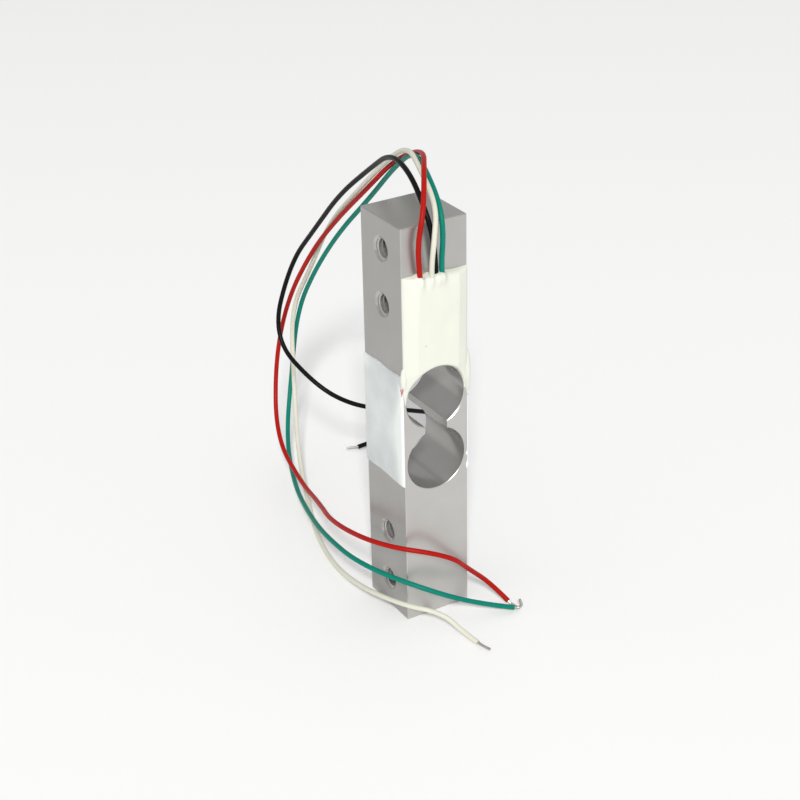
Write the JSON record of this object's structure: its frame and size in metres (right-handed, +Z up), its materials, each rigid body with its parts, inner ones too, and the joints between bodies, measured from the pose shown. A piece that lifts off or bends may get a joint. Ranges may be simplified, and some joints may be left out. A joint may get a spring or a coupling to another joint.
{
  "type": "single point load cell",
  "caption": "Square aluminium load cell bar with a binocular cut-out, tapped mounting holes, coated strain gauges and loose coloured leads.",
  "frame": {"origin": "centre of the bar's bottom end face, at the load end", "axes": "+Z up along the bar to the end the leads leave; the cut-out runs through along Y and the tapped holes run through along X; the soldered terminal is on the -Y face"},
  "size_m": [0.0444, 0.0861, 0.0828],
  "materials": {
    "aluminium": "satin",
    "gauge_coating": "gloss",
    "terminal_coating": "satin",
    "carrier_film": "gloss",
    "foil": "satin",
    "board": "gloss",
    "copper": "satin",
    "solder": "satin",
    "enamelled_wire": "gloss",
    "tinned_strands": "satin",
    "red_insulation": "satin",
    "green_insulation": "satin",
    "white_insulation": "satin",
    "black_insulation": "satin"
  },
  "bodies": {
    "root": {"spring_beam": "aluminium", "left_upper_gauge_film": "carrier_film", "left_upper_gauge_foil": "foil", "left_lower_gauge_film": "carrier_film", "left_lower_gauge_foil": "foil", "left_jumper_1": "enamelled_wire", "left_jumper_2": "enamelled_wire", "left_jumper_3": "enamelled_wire", "left_solder_dots": "solder", "right_upper_gauge_film": "carrier_film", "right_upper_gauge_foil": "foil", "right_lower_gauge_film": "carrier_film", "right_lower_gauge_foil": "foil", "right_jumper_1": "enamelled_wire", "right_jumper_2": "enamelled_wire", "right_jumper_3": "enamelled_wire", "right_solder_dots": "solder", "terminal_board": "board", "terminal_pads": "copper", "red_inner_strands": "tinned_strands", "red_solder_joint": "solder", "green_inner_strands": "tinned_strands", "green_solder_joint": "solder", "white_inner_strands": "tinned_strands", "white_solder_joint": "solder", "black_inner_strands": "tinned_strands", "black_solder_joint": "solder", "terminal_coating": "terminal_coating", "left_gauge_coating": "gauge_coating", "right_gauge_coating": "gauge_coating", "red_lead": "red_insulation", "red_tinned_tip": "tinned_strands", "green_lead": "green_insulation", "green_tinned_tip": "tinned_strands", "white_lead": "white_insulation", "white_tinned_tip": "tinned_strands", "black_lead": "black_insulation", "black_tinned_tip": "tinned_strands"}
  },
  "joints": []
}
